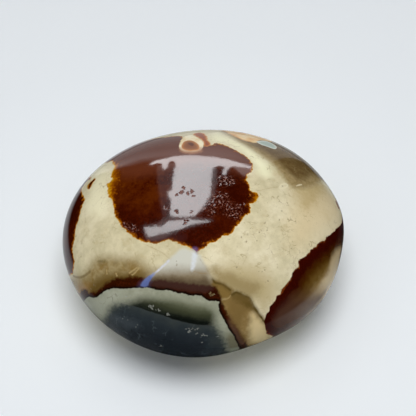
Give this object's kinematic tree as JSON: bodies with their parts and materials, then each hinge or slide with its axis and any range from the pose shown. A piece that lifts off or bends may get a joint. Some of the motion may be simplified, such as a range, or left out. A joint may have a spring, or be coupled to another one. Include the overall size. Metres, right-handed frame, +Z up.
{
  "type": "polychrome jasper palm stone",
  "caption": "Polished palm-sized jasper pebble, a rounded oval that rests on a small flat spot.",
  "frame": {"origin": "on the surface the stone rests on, under the middle of its box", "axes": "+X along the stone's length, +Y across it, +Z up through its thickness"},
  "size_m": [0.0668, 0.06, 0.0375],
  "materials": {
    "polished_jasper": "polished"
  },
  "bodies": {
    "root": {"palm_stone": "polished_jasper"}
  },
  "joints": []
}
